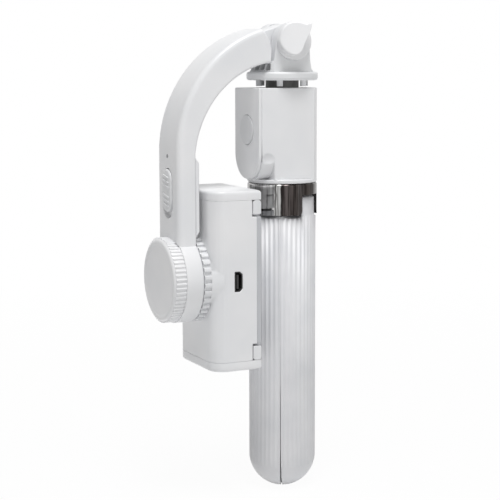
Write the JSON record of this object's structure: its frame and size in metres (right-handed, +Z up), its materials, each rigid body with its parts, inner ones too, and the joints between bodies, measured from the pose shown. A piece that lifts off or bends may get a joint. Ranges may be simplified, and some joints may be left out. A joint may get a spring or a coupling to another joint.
{
  "type": "gimbal selfie stick",
  "caption": "White folding selfie stick with gimbal arm, tripod handle, telescopic rod, remote and phone clamp, stored folded.",
  "frame": {"origin": "foot of the handle's axis, where the three closed leg tips meet", "axes": "+Z up the handle and rod; -X towards the folded arm and phone clamp; -Y towards the tilt knob and the charging socket"},
  "size_m": [0.0647, 0.0342, 0.1792],
  "materials": {
    "white_plastic": "moulded white, soft gloss",
    "satin_white_plastic": "moulded white, fine satin",
    "dark_plastic": "dark moulding",
    "chrome": "bright plated",
    "steel": "drawn stainless",
    "dark_steel": "blackened",
    "brass": "turned",
    "copper_winding": "enamelled copper on laminations",
    "circuit_board": "green solder mask",
    "battery_wrap": "shrink wrap",
    "rubber_pad": "soft grip pad",
    "clear_lens": "clear light pipe"
  },
  "bodies": {
    "handle": {"collar": "chrome", "base_tube": "steel", "tube_plug": "dark_plastic", "leg_pins": "steel"},
    "leg_front": {"leg_front": "white_plastic"},
    "leg_near": {"leg_near": "white_plastic"},
    "leg_far": {"leg_far": "white_plastic"},
    "rod_1": {"rod_section_1": "steel"},
    "rod_2": {"rod_section_2": "steel"},
    "rod_3": {"rod_section_3": "steel"},
    "rod_4": {"rod_section_4": "steel"},
    "head": {"rod_section_5": "steel", "head_shell": "white_plastic", "swivel_post": "dark_plastic", "swivel_screw": "steel"},
    "remote": {"remote_tub": "white_plastic", "remote_face": "white_plastic", "coin_cell": "steel", "remote_board": "circuit_board"},
    "shutter": {"shutter_button": "satin_white_plastic"},
    "pan_base": {"platform": "satin_white_plastic", "hinge_yoke": "white_plastic", "tilt_bolt": "steel", "hinge_washers": "brass"},
    "knob": {"tilt_knob": "white_plastic"},
    "arm": {"arm_frame": "white_plastic", "arm_cover": "white_plastic", "cover_screws": "steel", "status_lens": "clear_lens", "power_board": "circuit_board", "motor_cap": "white_plastic", "motor_stator": "copper_winding", "motor_bearings": "steel"},
    "switch": {"power_slide": "satin_white_plastic"},
    "clamp": {"clamp_shell": "white_plastic", "seat_plate": "rubber_pad", "seat_screws": "steel", "battery": "battery_wrap", "control_board": "circuit_board", "usb_socket": "steel", "rotor_ring": "white_plastic", "motor_shaft": "steel", "rotor_bell": "dark_steel", "jaw_spring": "steel"},
    "jaw_up": {"upper_jaw": "white_plastic"},
    "jaw_down": {"lower_jaw": "white_plastic"},
    "lip_up": {"upper_lip": "white_plastic"},
    "lip_down": {"lower_lip": "white_plastic"},
    "pinion": {"jaw_pinion": "satin_white_plastic"}
  },
  "joints": [
    {"name": "rod_slide_1", "type": "slide", "parent": "handle", "child": "rod_1", "axis": [0, 0, 1], "range_m": [0, 0.09]},
    {"name": "rod_slide_2", "type": "slide", "parent": "rod_1", "child": "rod_2", "axis": [0, 0, 1], "range_m": [0, 0.09]},
    {"name": "rod_slide_3", "type": "slide", "parent": "rod_2", "child": "rod_3", "axis": [0, 0, 1], "range_m": [0, 0.09]},
    {"name": "rod_slide_4", "type": "slide", "parent": "rod_3", "child": "rod_4", "axis": [0, 0, 1], "range_m": [0, 0.09]},
    {"name": "rod_slide_5", "type": "slide", "parent": "rod_4", "child": "head", "axis": [0, 0, 1], "range_m": [0, 0.09]},
    {"name": "remote_pull", "type": "slide", "parent": "head", "child": "remote", "axis": [-1, 0, 0], "range_m": [0, 0.012]},
    {"name": "shutter_press", "type": "slide", "parent": "remote", "child": "shutter", "axis": [1, 0, 0], "range_m": [0, 0.0003], "stiffness_N_per_m": 2000},
    {"name": "pan_turn", "type": "hinge", "parent": "head", "child": "pan_base", "pos_m": [0, 0, 0.1574], "axis": [0, 0, 1], "continuous": true},
    {"name": "knob_turn", "type": "hinge", "parent": "pan_base", "child": "knob", "pos_m": [0, -0.011, 0.1718], "axis": [0, -1, 0], "continuous": true},
    {"name": "arm_fold", "type": "hinge", "parent": "pan_base", "child": "arm", "pos_m": [0, 0, 0.1718], "axis": [0, 1, 0], "range_deg": [0, 180]},
    {"name": "leg_front_open", "type": "hinge", "parent": "handle", "child": "leg_front", "pos_m": [-0.00958, 0, 0.111], "axis": [0, 1, 0], "range_deg": [0, 60]},
    {"name": "leg_near_open", "type": "hinge", "parent": "handle", "child": "leg_near", "pos_m": [0.00479, -0.0083, 0.111], "axis": [-0.866, -0.5, 0], "range_deg": [0, 60]},
    {"name": "leg_far_open", "type": "hinge", "parent": "handle", "child": "leg_far", "pos_m": [0.00479, 0.0083, 0.111], "axis": [0.866, -0.5, 0], "range_deg": [0, 60]},
    {"name": "power_switch", "type": "slide", "parent": "arm", "child": "switch", "axis": [0, 0, -1], "range_m": [0, 0.002]},
    {"name": "gimbal_roll", "type": "hinge", "parent": "arm", "child": "clamp", "pos_m": [-0.04, 0, 0.0843], "axis": [-1, 0, 0], "range_deg": [-135, 135]},
    {"name": "jaw_open", "type": "slide", "parent": "clamp", "child": "jaw_up", "axis": [0, 0, 1], "range_m": [0, 0.015], "stiffness_N_per_m": 150, "springref_m": -0.02, "deforming": ["jaw_spring"]},
    {"name": "jaw_follow", "type": "slide", "parent": "clamp", "child": "jaw_down", "axis": [0, 0, -1], "range_m": [0, 0.015]},
    {"name": "pinion_turn", "type": "hinge", "parent": "clamp", "child": "pinion", "pos_m": [-0.021, 0, 0.0843], "axis": [1, 0, 0], "range_deg": [0, 286.5]},
    {"name": "lip_up_flip", "type": "hinge", "parent": "jaw_up", "child": "lip_up", "pos_m": [-0.0184, 0, 0.11298], "axis": [0, -1, 0], "range_deg": [0, 90]},
    {"name": "lip_down_flip", "type": "hinge", "parent": "jaw_down", "child": "lip_down", "pos_m": [-0.0184, 0, 0.05562], "axis": [0, 1, 0], "range_deg": [0, 90]}
  ],
  "couplings": [
    {"joint": "leg_front_open", "follows": "arm_fold", "ratio": 0.33333},
    {"joint": "jaw_follow", "follows": "jaw_open", "ratio": 1},
    {"joint": "pinion_turn", "follows": "jaw_open", "rad_per_m": 333.33}
  ]
}
